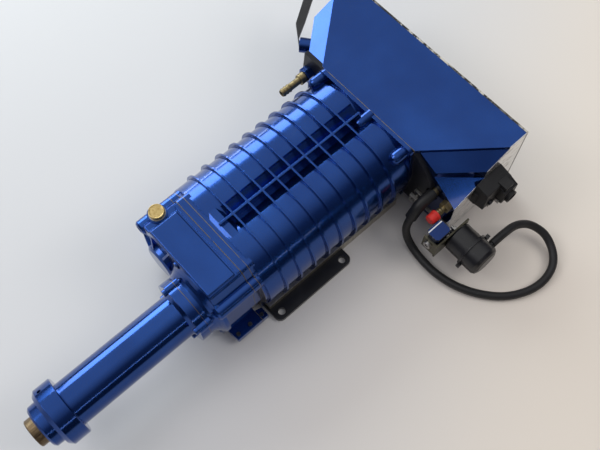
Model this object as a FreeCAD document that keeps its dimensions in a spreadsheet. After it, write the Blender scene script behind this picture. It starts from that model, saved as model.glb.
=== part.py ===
"""Twin-rotor (Roots) supercharger with a long input snout and a flared inlet plenum.

Frame: +X runs from the snout's nose to the wide inlet mouth, +Z is up, and the origin
is the centre of the outlet flange's bottom face. All lengths are in millimetres.
"""
import FreeCAD, Part
import Sketcher
import math
import os
import re

Vector = FreeCAD.Vector
Rotation = FreeCAD.Rotation

doc = FreeCAD.newDocument("supercharger")
sheet = doc.addObject("Spreadsheet::Sheet", "Sizes")

# Driving dimensions. Every length in an expression below comes from one of these cells.
cells = {
    # rotor pair
    "centreGap": 56.0,          # distance between the two rotor axes
    "axisHeight": 61.0,         # rotor axes above the outlet flange's bottom face
    "tipRadius": 42.0,          # lobe tip circle before clearance
    "lobeClearance": 0.25,      # taken off each rotor's profile
    "lobeTwist": 60.0,          # degrees of helix over the rotor's length
    "rotorFront": -95.6,
    "rotorRear": 78.2,
    "shaftRadius": 8.5,
    "boreRadius": 42.25,
    # twin-bore case
    "caseFront": -100.0,
    "caseRear": 106.5,
    "boreRear": 78.6,
    "barrelRadius": 48.6,
    "barrelNeck": 45.5,
    "barrelEnd": 97.5,
    "lowerHalf": 66.0,
    "caseBase": 14.0,
    "railHalf": 65.0,
    "railTop": 26.0,
    "flangeHalf": 66.0,
    "flangeTop": 107.0,
    "flangeShoulder": 50.0,
    "flangeBase": 10.0,
    "flangeCorner": 5.0,
    "frontFlange": 7.0,
    "rearFlange": 4.5,
    "ribRadius": 51.7,
    "ribThick": 2.0,
    "ribPitch": 18.9,
    "ribTop": 113.0,
    "spineThick": 2.4,
    "bossRadius": 8.0,
    "bossSide": 60.0,           # long bolt bosses, sideways from the middle
    "bossHeight": 86.0,
    "bossRear": -76.0,
    # bearing plate and gear cover
    "plateFront": -108.0,
    "coverFront": -148.0,
    "coverWall": 5.0,
    "coverTop": 105.0,
    "panelHalf": 44.5,
    "panelTop": 107.0,
    "panelRear": -114.0,
    "gearChamber": 35.0,
    "neckRadius": 33.0,
    "neckFront": -162.0,
    "neckBore": 25.0,
    "bearingOuter": 20.0,
    "bearingSeat": 10.0,
    "raceInner": 11.6,
    "raceOuter": 12.0,
    "sealOuter": 14.0,
    "runningGap": 0.05,
    # snout and input shaft
    "snoutFlange": 35.0,
    "snoutFlangeFront": -172.0,
    "snoutRadius": 24.0,
    "snoutBore": 18.0,
    "collarRear": -306.0,
    "collarRadius": 32.3,
    "collarFront": -328.0,
    "collarChamfer": 4.0,
    "hubFront": -339.0,
    "hubRadius": 23.0,
    "tipFront": -348.0,
    "tipSleeve": 15.0,
    "inputRadius": 10.0,
    "inputRear": -150.0,
    "snoutBolts": 33.8,         # radius of the flange's screw circle
    # timing gears
    "gearFront": -132.0,
    "gearWidth": 12.0,
    "toothRoot": 25.4,
    "toothTip": 29.8,
    # inlet plenum
    "plenumFront": 112.0,
    "mouth": 207.0,
    "mouthHalf": 131.4,
    "plenumBase": 2.0,
    "plenumTop": 109.0,
    "shoulderTop": 104.0,
    "shoulderLow": 93.0,
    "seamHalf": 68.6,
    "topCorner": 182.5,
    "topFrontHalf": 73.1,
    "wallFrontHalf": 97.0,
    "wallCorner": 152.6,
    "plenumWall": 3.0,
    "innerFrontHalf": 95.6,
    "innerCorner": 154.0,
    "innerTopHalf": 71.6,
    "innerTopCorner": 183.6,
    "pocketLow": 58.0,
    "pocketHigh": 80.0,
    "pocketInner": 84.0,
    # bypass valve and its actuator
    "valveSide": -95.0,
    "valveAlong": 158.0,
    "valveHeight": 28.0,
    "valveBore": 17.0,
    "valveDisc": 16.7,
    "leverReach": 12.0,
    "leverSwing": 33.0,         # degrees either side of upright
    "rodAlong": 101.0,
    "rodHeight": 39.0,
    "canFront": 148.0,          # distances out to the side, towards -Y
    "canRadius": 17.4,
    "canSeam": 171.0,
    "canRear": 192.0,
    "hoseOuter": 4.5,
    # outlet flange and foot bracket
    "outletFront": -93.0,
    "outletRear": 95.0,
    "outletHalf": 69.5,
    "footThick": 5.0,
}

for row, (alias, value) in enumerate(cells.items(), start=1):
    sheet.set("A%d" % row, alias)
    sheet.set("B%d" % row, str(value))
    sheet.setAlias("B%d" % row, alias)
doc.recompute()

nodes = []                      # finished sub-parts, in the order they are made


def size(expression):
    """The number that an expression on the sheet's names gives."""
    names = re.findall(r"[A-Za-z]\w*", str(expression))
    return float(FreeCAD.Units.Quantity(swap(expression, names)).Value)


def swap(expression, names):
    text = str(expression)
    for name in sorted(set(names), key=len, reverse=True):
        text = re.sub(r"\b%s\b" % name, "(%r)" % cells[name], text)
    return text


def linked(expression):
    """The same expression, reading its names from the spreadsheet."""
    return re.sub(r"[A-Za-z]\w*", lambda match: "Sizes." + match.group(), str(expression))


def place(thing, at, along=None, spin=0.0):
    """Set a Placement: its base bound to the sheet, its local X or Z turned onto a direction."""
    turn = Rotation()
    if along is not None:
        local = Vector(1, 0, 0) if thing.TypeId == "PartDesign::Body" else Vector(0, 0, 1)
        turn = Rotation(local, Vector(*along))
        if spin:
            turn = turn.multiply(Rotation(local, spin))
    thing.Placement = FreeCAD.Placement(Vector(*[size(value) for value in at]), turn)
    for axis, value in zip("xyz", at):
        thing.setExpression("Placement.Base." + axis, linked(value))
    return thing


def rod(name, radius, length, at, along=(1, 0, 0)):
    cylinder = doc.addObject("Part::Cylinder", name)
    cylinder.setExpression("Radius", linked(radius))
    cylinder.setExpression("Height", linked(length))
    return place(cylinder, at, along)


def block(name, lengths, at):
    box = doc.addObject("Part::Box", name)
    for prop, value in zip(("Length", "Width", "Height"), lengths):
        box.setExpression(prop, linked(value))
    return place(box, at)


def span(name, xs, ys, zs):
    """A block given by its low and high limits along X, Y and Z."""
    lengths = ["(%s) - (%s)" % (high, low) for low, high in (xs, ys, zs)]
    return block(name, lengths, (xs[0], ys[0], zs[0]))


def fuse(name, *pieces):
    joined = doc.addObject("Part::MultiFuse", name)
    joined.Shapes = list(pieces)
    return joined


def cut(name, base, *tools):
    result = doc.addObject("Part::Cut", name)
    result.Base = base
    result.Tool = tools[0] if len(tools) == 1 else fuse(name + "Tools", *tools)
    return result


def common(name, *pieces):
    shared = doc.addObject("Part::MultiCommon", name)
    shared.Shapes = list(pieces)
    return shared


def group(name, pieces):
    bunch = doc.addObject("Part::Compound", name)
    bunch.Links = list(pieces)
    return bunch


def node(label, thing):
    thing.Label = label
    nodes.append(thing)
    return thing


def originPlane(body, role):
    return [part for part in body.Origin.OriginFeatures if part.Role == role][0]


def outline(body, role, points, offset=0.0):
    """A closed sketch of straight edges whose corners are bound to the sheet."""
    sketch = body.newObject("Sketcher::SketchObject", "Outline")
    sketch.AttachmentSupport = [(originPlane(body, role), "")]
    sketch.MapMode = "FlatFace"
    if offset != 0.0:
        sketch.setExpression("AttachmentOffset.Base.z", linked(offset))
    corners = [Vector(size(a), size(b), 0) for a, b in points]
    for start, end in zip(corners, corners[1:] + corners[:1]):
        sketch.addGeometry(Part.LineSegment(start, end), False)
    last = len(points)
    for index in range(last):
        sketch.addConstraint(Sketcher.Constraint("Coincident", index, 2, (index + 1) % last, 1))
    for index, (a, b) in enumerate(points):
        for kind, value in (("DistanceX", a), ("DistanceY", b)):
            datum = Sketcher.Constraint(kind, -1, 1, index, 1, size(value))
            number = sketch.addConstraint(datum)
            sketch.setExpression("Constraints[%d]" % number, linked(value))
    return sketch


def turned(name, profile, at=("0", "0", "0"), along=(1, 0, 0)):
    """A lathe-turned solid: corners are (distance along the axis, radius)."""
    body = doc.addObject("PartDesign::Body", name)
    sketch = outline(body, "XY_Plane", profile)
    revolve = body.newObject("PartDesign::Revolution", "Revolve")
    revolve.Profile = sketch
    revolve.ReferenceAxis = (sketch, ["H_Axis"])
    revolve.Angle = 360
    return place(body, at, along)


def slab(name, role, points, start, thick):
    """A flat outline padded from a start distance along its plane's normal."""
    body = doc.addObject("PartDesign::Body", name)
    sketch = outline(body, role, points, start)
    pad = body.newObject("PartDesign::Pad", "Pad")
    pad.Profile = sketch
    pad.setExpression("Length", linked(thick))
    return body


def rounded(body, radius, chosen):
    """Fillet the edges of a body's tip that the test picks."""
    doc.recompute()
    tip = body.Tip
    names = ["Edge%d" % (number + 1) for number, edge in enumerate(tip.Shape.Edges) if chosen(edge)]
    fillet = body.newObject("PartDesign::Fillet", "Round")
    fillet.Base = (tip, names)
    fillet.setExpression("Radius", linked(radius))
    return body


def runsAlong(edge, axis):
    if not isinstance(edge.Curve, Part.Line):
        return False
    direction = edge.Curve.Direction
    return abs(abs((direction.x, direction.y, direction.z)[axis]) - 1.0) < 1e-6


def capScrew(name, at, along, head, headLength, shank, shankLength):
    """Socket-head screw: its seat is at the place given and the head stands off against along."""
    back = Vector(*along) * -size(headLength)
    headAt = ["(%s) + (%.6f)" % (value, shift) for value, shift in zip(at, back)]
    top = rod(name + "Head", head, headLength, headAt, along)
    stem = rod(name + "Stem", shank, shankLength, at, along)
    socket = doc.addObject("Part::Prism", name + "Socket")
    socket.Polygon = 6
    socket.setExpression("Circumradius", linked("(%s) * 0.56" % head))
    socket.setExpression("Height", linked("(%s) * 0.55" % headLength))
    place(socket, headAt, along)
    return cut(name, fuse(name + "Blank", top, stem), socket)


def hexHead(name, at, along, radius, length):
    prism = doc.addObject("Part::Prism", name)
    prism.Polygon = 6
    prism.setExpression("Circumradius", linked(radius))
    prism.setExpression("Height", linked(length))
    return place(prism, at, along)


# Sideways places of the two rotor axes: the snout and input shaft lie on the drive axis.
driveSide = "-centreGap / 2"
drivenSide = "centreGap / 2"
sides = (driveSide, drivenSide)
flangeOutline = [
    ("-flangeHalf + 8", "flangeBase"), ("flangeHalf - 8", "flangeBase"), ("flangeHalf", "46"),
    ("63", "82"), ("55.5", "97"), ("flangeShoulder", "flangeTop"),
    ("-flangeShoulder", "flangeTop"), ("-55.5", "97"), ("-63", "82"), ("-flangeHalf", "46"),
]
coverOutline = [
    ("-flangeHalf + 8", "flangeBase"), ("flangeHalf - 8", "flangeBase"), ("flangeHalf", "46"),
    ("63", "82"), ("57", "94"), ("flangeShoulder + 2", "100"), ("panelHalf + 0.8", "100"),
    ("panelHalf - 2", "coverTop"), ("-flangeShoulder", "coverTop"), ("-55.5", "95"), ("-63", "82"),
    ("-flangeHalf", "46"),
]
# Screw places on the cover's outline: two in the long bosses, four round the lower edge.
coverScrews = [("-bossSide", "bossHeight"), ("bossSide", "bossHeight"),
               ("-54", "20"), ("54", "20"), ("0", "17"), ("0", "98.5")]
footScrewPlaces = ("-137", "-121", "-105")
rearBosses = [("-59", "99.6"), ("-6.5", "103"), ("63.5", "99")]
rearScrews = [("-60", "96.8"), ("-6.5", "98"), ("60", "96.8"), ("-58", "24"), ("58", "24")]


def twinRods(name, radius, low, high):
    """Two equal cylinders, one on each rotor axis."""
    return [rod(name + side, radius, "(%s) - (%s)" % (high, low), (low, y, "axisHeight"))
            for side, y in zip(("Near", "Far"), sides)]


def inletPort(name, low, high):
    """Kidney-shaped opening above the rear bearing bosses."""
    lobes = fuse(name + "Lobes", *twinRods(name + "Lobe", "38", low, high))
    window = span(name + "Window", (low, high), ("-70", "70"), ("64", "98"))
    bosses = fuse(name + "Bosses", *twinRods(name + "Boss", "18", low, high))
    return cut(name, common(name + "Field", lobes, window), bosses)


def rotorCase():
    length = "caseRear - caseFront"
    hulls = fuse("caseHulls", *twinRods("caseBarrel", "barrelRadius", "caseFront + 4", "barrelEnd"))
    valley = slab("caseValley", "YZ_Plane", [
        ("-20", "114"), ("-15", "106.6"), ("-5", "100.3"), ("5", "100.3"), ("15", "106.6"), ("20", "114"),
    ], "-79", "200")
    under = span("caseUnder", ("-110", "110"), ("-90", "90"), ("0", "caseBase"))
    barrels = [cut("caseHullsCut", hulls, valley, under)] + twinRods("caseEnd", "barrelNeck", "caseFront",
                                                                     "caseRear")
    lower = span("caseLower", ("caseFront", "caseRear"), ("-lowerHalf + 2", "lowerHalf - 2"),
                 ("caseBase", "axisHeight"))
    rail = span("caseRail", ("outletFront", "outletRear"), ("-railHalf", "railHalf"),
                ("caseBase", "railTop"))
    front = slab("caseFrontFlange", "YZ_Plane", flangeOutline, "caseFront", "frontFlange")
    rounded(front, "flangeCorner", lambda edge: runsAlong(edge, 0) and edge.CenterOfMass.z > 105)
    rear = slab("caseRearFlange", "YZ_Plane", [
        ("-seamHalf", "caseBase"), ("seamHalf", "caseBase"), ("seamHalf + 5", "60"),
        ("seamHalf", "plenumTop"), ("-seamHalf", "plenumTop"), ("-seamHalf - 5", "60"),
    ], "caseRear - rearFlange", "rearFlange")
    rounded(rear, "7", lambda edge: runsAlong(edge, 0) and edge.CenterOfMass.z > 100)
    bosses = [rod("caseBoss%d" % index, "bossRadius", "bossRear - caseFront",
                  ("caseFront", y, "bossHeight")) for index, y in enumerate(("-bossSide", "bossSide"))]
    for index, (y, z) in enumerate(rearBosses):
        boss = turned("caseRearBoss%d" % index, [
            ("caseRear - 22", "0"), ("caseRear - 22", "3.4"), ("caseRear - 20.5", "5.6"),
            ("caseRear - 18", "7"), ("caseRear - 14", "7.4"), ("caseRear", "7.4"), ("caseRear", "0"),
        ], ("0", y, z))
        bosses.append(boss)
    saddle = slab("caseSaddle", "XZ_Plane", [
        ("-96", "85"), ("-96", "107"), ("-92", "108.6"), ("-84", "108.6"), ("-80.5", "106.5"), ("-79", "100"),
        ("-79", "85"),
    ], "-26", "52")
    bosses.append(saddle)
    envelope = fuse("ribEnvelope", *twinRods("ribRound", "ribRadius", "-ribPitch * 4 - 6",
                                             "ribPitch * 4 + 6"),
                    span("ribBridge", ("-ribPitch * 4 - 6", "ribPitch * 4 + 6"), sides,
                         ("axisHeight", "ribTop")),
                    span("ribFoot", ("-ribPitch * 4 - 6", "ribPitch * 4 + 6"),
                         ("-railHalf", "railHalf"), ("caseBase", "axisHeight")))
    plates = [span("ribPlate%d" % (step + 4), ("ribPitch * (%d) - ribThick / 2" % step,
                                               "ribPitch * (%d) + ribThick / 2" % step),
                   ("-100", "100"), ("caseBase", "120")) for step in range(-4, 5)]
    ribs = common("caseRibs", envelope, fuse("ribPlates", *plates))
    spine = span("caseSpine", ("-93", "95"), ("-spineThick / 2", "spineThick / 2"), ("85", "ribTop"))
    blank = fuse("caseBlank", *barrels, lower, rail, front, rear, ribs, spine, *bosses)
    bores = twinRods("caseBore", "boreRadius", "caseFront", "boreRear")
    seats = twinRods("caseNeedleSeat", "12.5", "boreRear - 1", "99")
    outlet = slab("caseOutlet", "XY_Plane", [("-86", "-33"), ("12", "0"), ("-86", "33")], "0", "45")
    rearHoles = [rod("caseRearHole%d" % index, "2.5", "12", ("caseRear - 11", y, z))
                 for index, (y, z) in enumerate(rearScrews)]
    node("rotor_case", cut("rotorCase", blank, *bores, *seats, outlet, inletPort("casePort", "70", length),
                           *rearHoles))


def bearingPlate():
    plate = slab("plateSlab", "YZ_Plane", flangeOutline, "plateFront", "caseFront - plateFront")
    rounded(plate, "flangeCorner", lambda edge: runsAlong(edge, 0) and edge.CenterOfMass.z > 105)
    bosses = [rod("plateBoss%d" % index, "bossRadius", "caseFront - plateFront",
                  ("plateFront", y, "bossHeight")) for index, y in enumerate(("-bossSide", "bossSide"))]
    spigots = twinRods("plateSpigot", "boreRadius - 0.05", "caseFront", "caseFront + 4")
    blank = fuse("plateBlank", plate, *bosses, *spigots)
    seats = twinRods("plateSeat", "bearingOuter", "plateFront", "plateFront + bearingSeat")
    seals = twinRods("plateSealBore", "sealOuter", "plateFront + bearingSeat - 1", "caseFront + 5")
    holes = [rod("plateHole%d" % index, "2.7", "10", ("plateFront - 1", y, z))
             for index, (y, z) in enumerate(coverScrews)]
    node("bearing_plate", cut("bearingPlate", blank, *seats, *seals, *holes))


def gearCover():
    depth = "plateFront - coverFront"
    shell = slab("coverSlab", "YZ_Plane", coverOutline, "coverFront", depth)
    rounded(shell, "flangeCorner", lambda edge: runsAlong(edge, 0) and edge.CenterOfMass.z > 104
            and edge.CenterOfMass.y < -45)
    rounded(shell, "2", lambda edge: abs(edge.BoundBox.XMax - size("coverFront")) < 0.01
            and edge.CenterOfMass.z > 30)
    panel = slab("coverPanel", "XY_Plane", [
        ("coverFront + 0.6", "-panelHalf - 3.5"), ("panelRear", "-panelHalf - 3.5"),
        ("panelRear", "panelHalf - 3"), ("coverFront + 0.6", "panelHalf - 3"),
    ], "90", "panelTop - 90")
    rounded(panel, "1.6", lambda edge: edge.CenterOfMass.z > size("panelTop") - 0.01 or runsAlong(edge, 2))
    rim = slab("coverRim", "YZ_Plane", [
        ("-flangeShoulder + 2", "90"), ("flangeShoulder - 2", "90"), ("flangeShoulder - 2",
                                                                      "flangeTop - 0.6"),
        ("-flangeShoulder + 2", "flangeTop - 0.6"),
    ], "plateFront - 4", "4")
    bosses = [turned("coverBoss%d" % index, [
        ("coverFront - 2.5", "0"), ("coverFront - 2.5", "bossRadius - 2"), ("coverFront - 0.5", "bossRadius"),
        ("plateFront", "bossRadius"), ("plateFront", "0"),
    ], ("0", y, "bossHeight")) for index, y in enumerate(("-bossSide", "bossSide"))]
    neck = turned("coverNeck", [
        ("neckFront", "0"), ("neckFront", "neckRadius + 1.8"), ("neckFront + 2.5", "neckRadius + 1.6"),
        ("neckFront + 5", "neckRadius + 2"), ("neckFront + 8", "neckRadius + 3.8"),
        ("neckFront + 11", "neckRadius + 6.8"), ("coverFront", "neckRadius + 10.9"),
        ("coverFront + 4", "neckRadius + 10.9"), ("coverFront + 4", "0"),
    ], ("0", driveSide, "axisHeight"))
    lugs = [rod("coverNeckLug%d" % index, "5.2", "5", ("neckFront",) + flangeScrewPlace(index))
            for index in range(4)]
    bulge = turned("coverBulge", [
        ("coverFront - 7", "0"), ("coverFront - 7", "17"), ("coverFront - 5", "20"),
        ("coverFront", "22"), ("coverFront", "0"),
    ], ("0", drivenSide, "axisHeight"))
    webs = []
    for index, angle in enumerate((20, 65, 110, 155)):
        web = slab("coverWeb%d" % index, "XY_Plane", [
            ("coverFront - 6", "16"), ("coverFront", "36"), ("coverFront", "16"),
        ], "-1.2", "2.4")
        web.Placement = FreeCAD.Placement(Vector(0, size(drivenSide), size("axisHeight")),
                                          Rotation(Vector(1, 0, 0), angle))
        webs.append(web)
    foot = slab("coverFoot", "XY_Plane", [
        ("coverFront + 5.5", "-61.8"), ("coverFront + 7", "-75"), ("caseFront", "-75"), ("caseFront", "-64"),
        ("plateFront - 0.3", "-61.8"), ("plateFront - 0.3", "-50"), ("coverFront + 5.5", "-50"),
    ], "6", "8")
    pad = rod("coverPlugPad", "10.2", "17", ("-129", "54.5", "85"), (0, 0, 1))
    blank = fuse("coverBlank", shell, panel, rim, *bosses, neck, *lugs, bulge, *webs, foot, pad)
    chamber = [rod("coverChamber%d" % index, "gearChamber", "plateFront - coverFront - coverWall + 1",
                   ("coverFront + coverWall", y, "axisHeight")) for index, y in enumerate(sides)]
    waist = span("coverWaist", ("coverFront + coverWall", "plateFront + 1"), sides,
                 ("axisHeight - 30", "axisHeight + 30"))
    footHoles = [rod("coverFootHole%d" % index, "1.5", "9", (x, "-70", "5"), (0, 0, 1))
                 for index, x in enumerate(footScrewPlaces)]
    bore = rod("coverNeckBore", "neckBore", "30", ("neckFront - 1", driveSide, "axisHeight"))
    plugHole = rod("coverPlugHole", "5", "30", ("-129", "54.5", "88"), (0, 0, 1))
    holes = [rod("coverHole%d" % index, "2.7", "60", ("coverFront - 5", y, z))
             for index, (y, z) in enumerate(coverScrews)]
    recesses = [rod("coverRecess%d" % index, "4.2", "12", ("coverFront - 8", y, z))
                for index, (y, z) in enumerate(coverScrews)]
    flangeHoles = [rod("coverFlangeHole%d" % index, "2.5", "12", ("neckFront - 1",) + flangeScrewPlace(index))
                   for index in range(4)]
    node("gear_cover", cut("gearCover", blank, *chamber, waist, bore, plugHole, *holes, *recesses,
                           *flangeHoles,
                           *footHoles))
    plug = turned("plugHeadBody", [
        ("0", "0"), ("0", "8.4"), ("3.2", "8.4"), ("4", "7.9"), ("4", "7"), ("3.7", "6.8"), ("3.7", "0"),
    ], ("-129", "54.5", "103.3"), (0, 0, 1))
    stem = rod("plugStem", "4.9", "12", ("-129", "54.5", "91.4"), (0, 0, 1))
    node("oil_fill_plug", fuse("oilPlug", plug, stem))
    washer = rod("washerDisc", "8.9", "1.2", ("-129", "54.5", "102.05"), (0, 0, 1))
    node("oil_plug_washer", cut("oilWasher", washer,
                                rod("washerHole", "5", "3", ("-129", "54.5", "102"), (0, 0, 1))))
    screws = [capScrew("coverScrew%d" % index, ("coverFront + 4", y, z), (1, 0, 0), "3.9", "6", "2.5", "43")
              for index, (y, z) in enumerate(coverScrews)]
    node("cover_screws", group("coverScrewGroup", screws))
    footScrews = [capScrew("footScrew%d" % index, (x, "-70", "14"), (0, 0, -1), "2.4", "1.8", "1.4", "6.5")
                  for index, x in enumerate(footScrewPlaces)]
    node("cover_foot_screws", group("footScrewGroup", footScrews))


def flangeScrewPlace(index):
    """Sideways and height places of one of the four snout flange screws."""
    angle = math.radians(61 + 90 * index)
    return ("%s + snoutBolts * (%.6f)" % (driveSide, math.cos(angle)),
            "axisHeight + snoutBolts * (%.6f)" % math.sin(angle))


def snout():
    tube = turned("snoutTurned", [
        ("neckFront", "snoutBore"), ("neckFront", "snoutFlange"), ("snoutFlangeFront", "snoutFlange"),
        ("snoutFlangeFront", "snoutRadius + 3"), ("snoutFlangeFront - 3", "snoutRadius"),
        ("collarRear", "snoutRadius"), ("collarRear", "collarRadius - 1"),
        ("collarRear - 1", "collarRadius"), ("collarFront + collarChamfer", "collarRadius"),
        ("collarFront", "collarRadius - collarChamfer"), ("collarFront", "snoutBore"),
    ], ("0", driveSide, "axisHeight"))
    lugs = [rod("snoutLug%d" % index, "5.2", "neckFront - snoutFlangeFront",
                ("snoutFlangeFront",) + flangeScrewPlace(index)) for index in range(4)]
    bearingSeat = rod("snoutSeatFront", "bearingOuter + 3.5", "15", ("collarFront - 1", driveSide,
                                                                     "axisHeight"))
    rearSeat = rod("snoutSeatRear", "bearingOuter", "14", ("neckFront - 13", driveSide, "axisHeight"))
    holes = [rod("snoutHole%d" % index, "2.7", "12", ("snoutFlangeFront - 1",) + flangeScrewPlace(index))
             for index in range(4)]
    greaseRoot = rod("snoutGreaseFill", "25", "13", ("-325.5", driveSide, "axisHeight"))
    grease = cut("snoutGrease", rod("snoutGreaseLong", "2.2", "40", ("-319", driveSide, "axisHeight"),
                                    (0, 0.64, 0.77)), greaseRoot)
    node("snout_housing", cut("snoutHousing", fuse("snoutBlank", tube, *lugs), bearingSeat, rearSeat, *holes,
                              grease))
    screws = [capScrew("snoutScrew%d" % index, ("snoutFlangeFront",) + flangeScrewPlace(index), (1, 0, 0),
                       "3.6", "3.8", "2.4", "18") for index in range(4)]
    screws += [capScrew("rearScrew%d" % index, ("plenumFront + plenumWall", y, z), (-1, 0, 0), "4", "4.4",
                        "2.4", "18") for index, (y, z) in enumerate(rearScrews)]
    node("flange_screws", group("flangeScrews", screws))
    cap = turned("noseCapTurned", [
        ("collarFront", "inputRadius + 0.2"), ("collarFront", "bearingOuter + 3.4"),
        ("hubFront + 2", "hubRadius"), ("hubFront", "hubRadius - 2"), ("hubFront", "inputRadius + 0.2"),
    ], ("0", driveSide, "axisHeight"))
    capBore = rod("noseCapBore", "tipSleeve + 0.4", "6", ("hubFront - 1", driveSide, "axisHeight"))
    node("nose_retainer", cut("noseRetainer", cap, capBore))


def ring(name, inner, outer, low, high, y=driveSide):
    return turned(name, [(low, inner), (low, outer), (high, outer), (high, inner)], ("0", y, "axisHeight"))


def inputLine():
    shaft = rod("inputRod", "inputRadius", "inputRear - hubFront + 7", ("hubFront - 7", driveSide,
                                                                        "axisHeight"))
    centre = rod("inputCentre", "2.2", "8", ("hubFront - 8", driveSide, "axisHeight"))
    node("input_shaft", cut("inputShaft", shaft, centre))
    node("drive_sleeve", turned("driveSleeve", [
        ("tipFront", "inputRadius"), ("tipFront", "tipSleeve - 1"), ("tipFront + 1", "tipSleeve"),
        ("hubFront - 0.5", "tipSleeve"), ("hubFront - 0.5", "tipSleeve - 0.6"),
        ("hubFront + 4.5", "tipSleeve - 0.6"), ("hubFront + 4.5", "inputRadius"),
    ], ("0", driveSide, "axisHeight")))
    races = [ring("noseRaceOuter", "16.6", "bearingOuter + 3.5", "collarFront", "collarFront + 14"),
             ring("tailRaceOuter", "15", "bearingOuter", "neckFront - 13", "neckFront - 1")]
    races += [ring("rotorOuter%d" % index, "raceOuter", "bearingOuter", "plateFront",
                   "plateFront + bearingSeat", y) for index, y in enumerate(sides)]
    node("bearing_outer_races", group("outerRaces", races))
    inners = [ring("noseRaceInner", "inputRadius", "16.2", "collarFront", "collarFront + 14"),
              ring("tailRaceInner", "inputRadius", "14.6", "neckFront - 13", "neckFront - 1")]
    node("input_bearing_inner_races", group("inputInnerRaces", inners))
    hub = turned("couplingHub", [
        ("-158", "inputRadius"), ("-158", "14"), ("-154.5", "14"), ("-154.5", "21"),
        ("-149.5", "21"), ("-149.5", "inputRadius"),
    ], ("0", driveSide, "axisHeight"))
    pins, sockets = [], []
    for index in range(3):
        angle = math.radians(90 + 120 * index)
        spot = ("%s + 15.5 * (%.6f)" % (driveSide, math.cos(angle)),
                "axisHeight + 15.5 * (%.6f)" % math.sin(angle))
        pins.append(rod("couplingPin%d" % index, "3", "17", ("-154.5",) + spot))
        sockets.append(rod("couplingSocket%d" % index, "3", "8", ("-155",) + spot))
    node("coupling_hub", cut("couplingHubCut", hub, *sockets))
    node("coupling_pins", group("couplingPins", pins))
    disc = ring("isolatorRing", "shaftRadius", "20.5", "-146.5", "-138.5")
    holes = []
    for index in range(3):
        angle = math.radians(90 + 120 * index)
        holes.append(rod("isolatorHole%d" % index, "3.08", "12",
                         ("-148", "%s + 15.5 * (%.6f)" % (driveSide, math.cos(angle)),
                          "axisHeight + 15.5 * (%.6f)" % math.sin(angle))))
    node("isolator_disc", cut("isolatorDisc", disc, *holes))


def timingGear(name, y, turn):
    """Straight-cut gear with 28 teeth; the mate's teeth are turned by half a pitch."""
    teeth = 28
    body = doc.addObject("PartDesign::Body", name)
    blank = outline(body, "XY_Plane", [
        ("gearFront", "shaftRadius"), ("gearFront", "toothRoot"), ("gearFront + gearWidth", "toothRoot"),
        ("gearFront + gearWidth", "20"), ("gearFront + gearWidth - 3", "20"),
        ("gearFront + gearWidth - 3", "14"), ("gearFront + gearWidth", "14"),
        ("gearFront + gearWidth", "shaftRadius")])
    disc = body.newObject("PartDesign::Revolution", "Blank")
    disc.Profile = blank
    disc.ReferenceAxis = (blank, ["H_Axis"])
    disc.Angle = 360
    tooth = outline(body, "YZ_Plane", [("toothRoot - 0.6", "-1.9"), ("toothTip", "-0.75"),
                                       ("toothTip", "0.75"), ("toothRoot - 0.6", "1.9")], "gearFront")
    pad = body.newObject("PartDesign::Pad", "Tooth")
    pad.Profile = tooth
    pad.setExpression("Length", linked("gearWidth"))
    doc.recompute()
    pattern = body.newObject("PartDesign::PolarPattern", "Teeth")
    pattern.Originals = [pad]
    pattern.Axis = (blank, ["H_Axis"])
    pattern.Angle = 360
    pattern.Occurrences = teeth
    body.Tip = pattern
    place(body, ("0", y, "axisHeight"))
    body.Placement.Rotation = Rotation(Vector(1, 0, 0), turn * 180.0 / teeth)
    return body


def lobeOutline(clearance, turn):
    """Three-lobe profile as one wire: round lobes and round valleys that meet in blunt corners.

    A lobe's centre lies just inside the pitch circle; a valley is the mating lobe, grown by
    the clearance, at the place it reaches when it stands square to this rotor.
    """
    pitch = size("centreGap") / 2
    tip = size("tipRadius")
    middle = (tip * tip - pitch * pitch) / (2 * (tip - pitch * math.cos(math.radians(30))))
    lobe = tip - middle
    valleyMiddle = 2 * pitch - middle
    lobeCentre = Vector(0, middle, 0)
    valleyCentre = Vector(0, valleyMiddle * math.cos(math.radians(60)),
                          valleyMiddle * math.sin(math.radians(60)))
    across = valleyCentre - lobeCentre
    along = (across.Length ** 2 + (lobe - clearance) ** 2 - (lobe + clearance) ** 2) / (2 * across.Length)
    aside = math.sqrt((lobe - clearance) ** 2 - along ** 2)
    forward = Vector(across).normalize()
    outward = Vector(0, forward.z, -forward.y)
    corner = lobeCentre + forward * along + outward * aside
    edges = []
    for index in range(3):
        spin = Rotation(Vector(1, 0, 0), turn + 120 * index)
        ahead = Rotation(Vector(1, 0, 0), turn + 120 * index + 60)
        following = Rotation(Vector(1, 0, 0), turn + 120 * index + 120)
        left = spin.multVec(Vector(0, corner.y, -corner.z))
        right = spin.multVec(corner)
        crest = spin.multVec(Vector(0, middle + lobe - clearance, 0))
        root = ahead.multVec(Vector(0, valleyMiddle - lobe - clearance, 0))
        edges.append(Part.Arc(left, crest, right).toShape())
        edges.append(Part.Arc(right, root, following.multVec(Vector(0, corner.y, -corner.z))).toShape())
    return Part.Wire(edges)


def rotor(name, y, hand, start):
    """Twisted rotor: the profile turned step by step along the shaft and joined by ruled faces."""
    front, rear = size("rotorFront"), size("rotorRear")
    steps = 10
    sections = []
    for step in range(steps + 1):
        share = step / steps
        wire = lobeOutline(size("lobeClearance"), start + hand * share * size("lobeTwist"))
        wire.translate(Vector(front + share * (rear - front), 0, 0))
        sections.append(wire)
    solid = Part.makeLoft(sections, True, True)
    hole = Part.makeCylinder(size("shaftRadius"), rear - front + 2, Vector(front - 1, 0, 0), Vector(1, 0, 0))
    feature = doc.addObject("Part::Feature", name)
    feature.Shape = solid.cut(hole)
    feature.Placement = FreeCAD.Placement(Vector(0, size(y), size("axisHeight")), Rotation())
    return feature


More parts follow.
